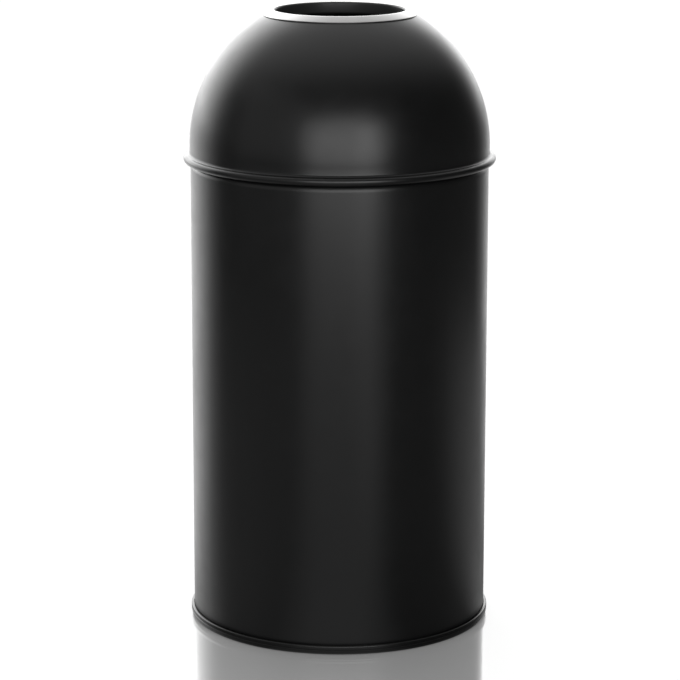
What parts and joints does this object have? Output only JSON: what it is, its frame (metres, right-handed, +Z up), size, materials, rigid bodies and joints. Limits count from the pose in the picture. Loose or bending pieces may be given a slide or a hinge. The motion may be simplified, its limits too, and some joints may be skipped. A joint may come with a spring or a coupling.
{
  "type": "dome top waste receptacle",
  "caption": "Round black steel waste receptacle with a lift-off dome lid, a round top opening with a polished ring, and a lift-out liner bucket with a bail.",
  "frame": {"origin": "centre of the base, on the floor", "axes": "+Z up along the axis of the body and dome; the front faces -Y, the seams are at +Y and the bail's hinge lies along X"},
  "size_m": [0.381, 0.381, 0.7578],
  "materials": {
    "body_paint": "satin",
    "base_vinyl": "satin",
    "polished_trim": "polished",
    "galvanised": "spangled zinc",
    "zinc_wire": "bright zinc",
    "grip": "matte"
  },
  "bodies": {
    "body": {"body_shell": "body_paint", "body_bottom": "body_paint", "base_ring": "base_vinyl"},
    "lid": {"dome_shell": "body_paint", "opening_trim": "polished_trim", "lid_collar": "body_paint"},
    "liner": {"liner_shell": "galvanised", "liner_bottom": "galvanised", "ear_left": "galvanised", "ear_right": "galvanised", "ear_rivet_left_1": "zinc_wire", "ear_rivet_left_2": "zinc_wire", "ear_rivet_right_1": "zinc_wire", "ear_rivet_right_2": "zinc_wire"},
    "bail": {"bail_wire": "zinc_wire", "bail_grip": "grip"}
  },
  "joints": [
    {"name": "lid_lift", "type": "slide", "parent": "body", "child": "lid", "axis": [0, 0, 1], "range_m": [0, 0.3]},
    {"name": "liner_lift", "type": "slide", "parent": "body", "child": "liner", "axis": [0, 0, 1], "range_m": [0, 0.12]},
    {"name": "bail_swing", "type": "hinge", "parent": "liner", "child": "bail", "pos_m": [0, 0, 0.5278], "axis": [1, 0, 0], "range_deg": [0, 175.9]}
  ]
}
